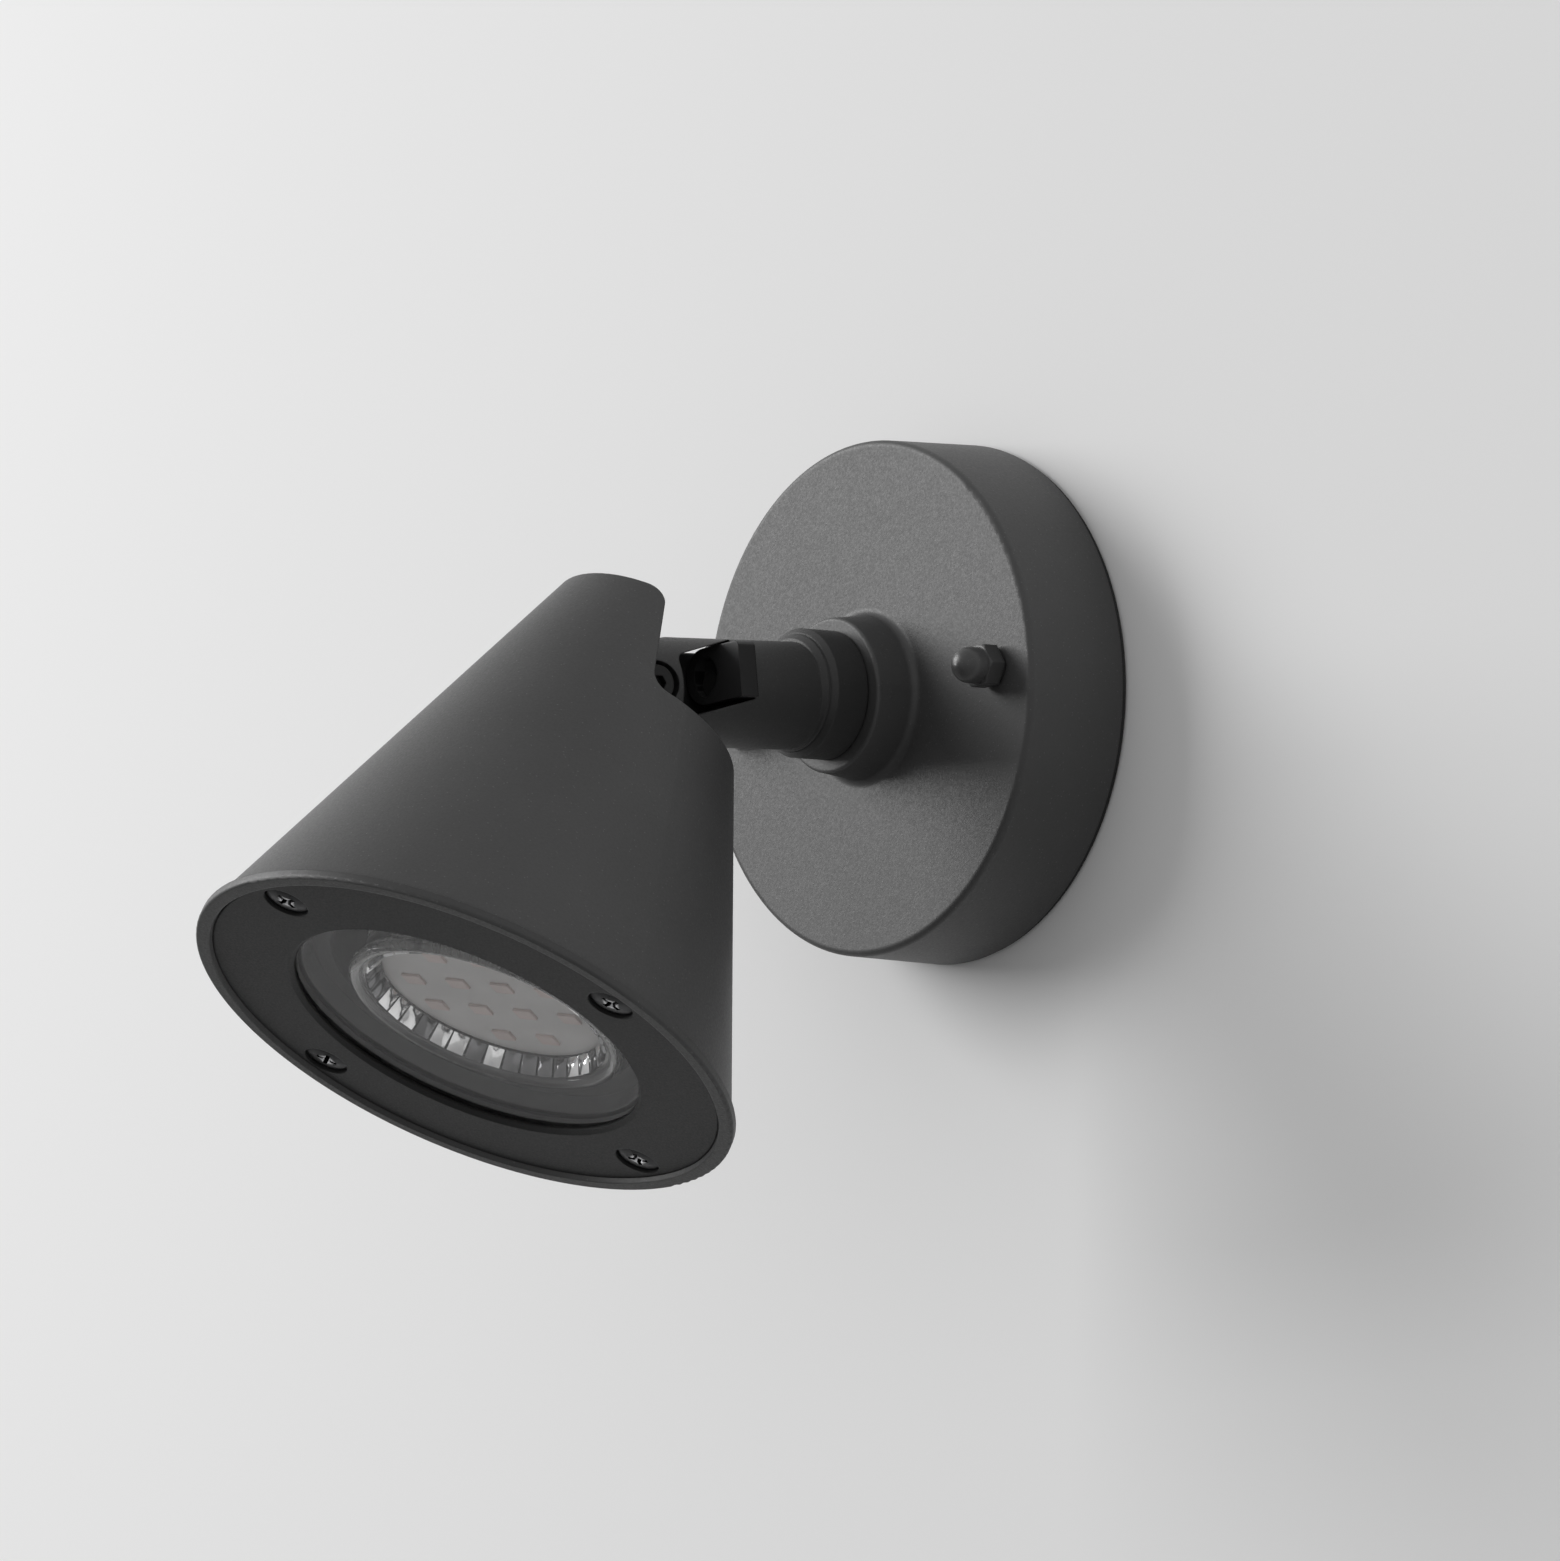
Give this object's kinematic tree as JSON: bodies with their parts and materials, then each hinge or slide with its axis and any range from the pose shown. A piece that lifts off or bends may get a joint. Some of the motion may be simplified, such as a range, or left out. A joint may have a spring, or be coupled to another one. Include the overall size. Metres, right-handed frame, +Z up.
{
  "type": "pivoting spotlight wall light",
  "caption": "Wall spotlight: round canopy, swivelling round stem and a tilting conical head with a step cut behind, a flat front ring and a clear glass over a reflector lamp.",
  "frame": {"origin": "centre of the canopy's seat on the wall", "axes": "+Z up, +Y into the wall, so that the stem points along -Y into the room; +X to the right for someone who faces the wall"},
  "size_m": [0.0982, 0.1552, 0.1356],
  "materials": {
    "coated_cast": "dark grey powder coat, fine texture, matt",
    "coated_ring": "dark grey powder coat, smooth, matt",
    "steel": "zinc plated",
    "black_steel": "black plated",
    "brass": "plain",
    "nylon": "natural nylon",
    "black_moulding": "black moulding, satin",
    "rubber": "black rubber",
    "cable_sheath": "black sheath",
    "lead_insulation": "insulated single leads",
    "clear_glass": "clear, flat",
    "clear_lens": "clear moulded plastic with facets",
    "lamp_shell": "white",
    "board": "pale board",
    "chip": "phosphor, pale pinkish orange",
    "ceramic": "glazed ceramic"
  },
  "bodies": {
    "wall_body": {"canopy": "coated_cast", "wall_gasket": "rubber", "backplate": "steel", "canopy_studs": "steel", "cap_nut_washers": "nylon", "cap_nuts": "black_steel", "supply_grommet": "rubber", "terminal_block": "nylon", "terminal_screws": "brass", "terminal_fixing_screw": "steel", "earth_tag": "brass", "earth_screw": "brass", "canopy_leads": "lead_insulation", "swivel_bush": "nylon"},
    "stem_body": {"stem": "coated_cast", "stem_spigot": "steel", "stop_washer": "steel", "spring_washer": "steel", "lock_nut": "steel", "collar_seal": "rubber", "lead_boot": "black_moulding", "stem_lead": "cable_sheath", "pivot_bolt": "black_steel", "pivot_nut": "black_steel", "friction_washers": "nylon"},
    "head_body": {"shade": "coated_cast", "bezel": "coated_ring", "bezel_screws": "black_steel", "front_glass": "clear_glass", "glass_gasket": "rubber", "lamp_can": "coated_ring", "can_grommet": "rubber", "lamp_body": "lamp_shell", "lamp_lens": "clear_lens", "lamp_board": "board", "lamp_chips": "chip", "lamp_pins": "steel", "lamp_holder": "ceramic", "holder_contacts": "brass", "holder_screws": "steel", "head_leads": "lead_insulation"}
  },
  "joints": [
    {"name": "stem_swivel", "type": "hinge", "parent": "wall_body", "child": "stem_body", "pos_m": [0, -0.0215, 0], "axis": [0, -1, 0], "range_deg": [-160, 160]},
    {"name": "head_tilt", "type": "hinge", "parent": "stem_body", "child": "head_body", "pos_m": [0, -0.07447, -0.00185], "axis": [1, 0, 0], "range_deg": [-75, 28]}
  ]
}
